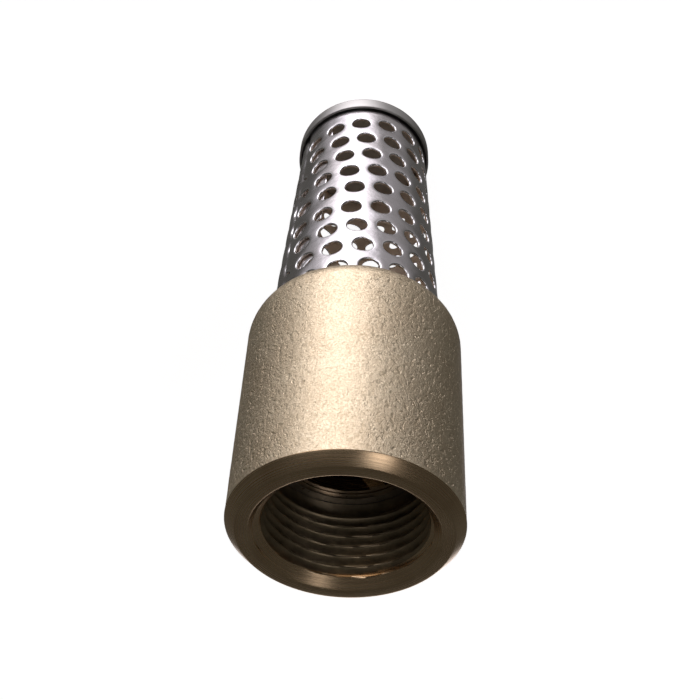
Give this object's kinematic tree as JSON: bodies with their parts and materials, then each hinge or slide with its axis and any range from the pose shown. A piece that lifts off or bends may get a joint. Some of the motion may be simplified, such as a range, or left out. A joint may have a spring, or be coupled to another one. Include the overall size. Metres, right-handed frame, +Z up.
{
  "type": "foot valve",
  "caption": "Spring-loaded poppet foot valve: cast body with an internal pipe thread, renewable seat and a perforated, rolled-sheet strainer with a pressed end cap.",
  "frame": {"origin": "centre of the strainer cap's flat underside, on the valve's axis", "axes": "+Z up the valve's axis, from the strainer cap to the threaded outlet, which is the direction of flow; +X through the middle of the retaining ring's gap, +Y completes the right-handed frame"},
  "size_m": [0.0452, 0.0452, 0.124],
  "materials": {
    "cast_bronze": "sand-cast, bright",
    "machined_bronze": "turned",
    "stainless_sheet": "bright rolled",
    "stainless_cap": "satin",
    "stainless_steel": "turned",
    "spring_steel": "drawn wire",
    "nitrile_rubber": "matte",
    "gasket_fibre": "matte",
    "ptfe": "matte"
  },
  "bodies": {
    "housing": {"body": "cast_bronze", "seat_ring": "machined_bronze", "seat_gasket": "gasket_fibre", "lower_guide_bush": "ptfe", "spring": "spring_steel", "spring_washer": "stainless_steel", "upper_guide": "machined_bronze", "upper_guide_bush": "ptfe", "retaining_ring": "spring_steel", "strainer_screen": "stainless_sheet", "strainer_cap": "stainless_cap"},
    "poppet": {"stem": "stainless_steel", "disc_holder": "machined_bronze", "seal_disc": "nitrile_rubber", "seal_washer": "machined_bronze", "lock_washer": "stainless_steel", "stem_nut": "stainless_steel"}
  },
  "joints": [
    {"name": "poppet_lift", "type": "slide", "parent": "housing", "child": "poppet", "axis": [0, 0, 1], "range_m": [0, 0.005], "stiffness_N_per_m": 400, "springref_m": -0.004, "deforming": ["spring"]}
  ]
}
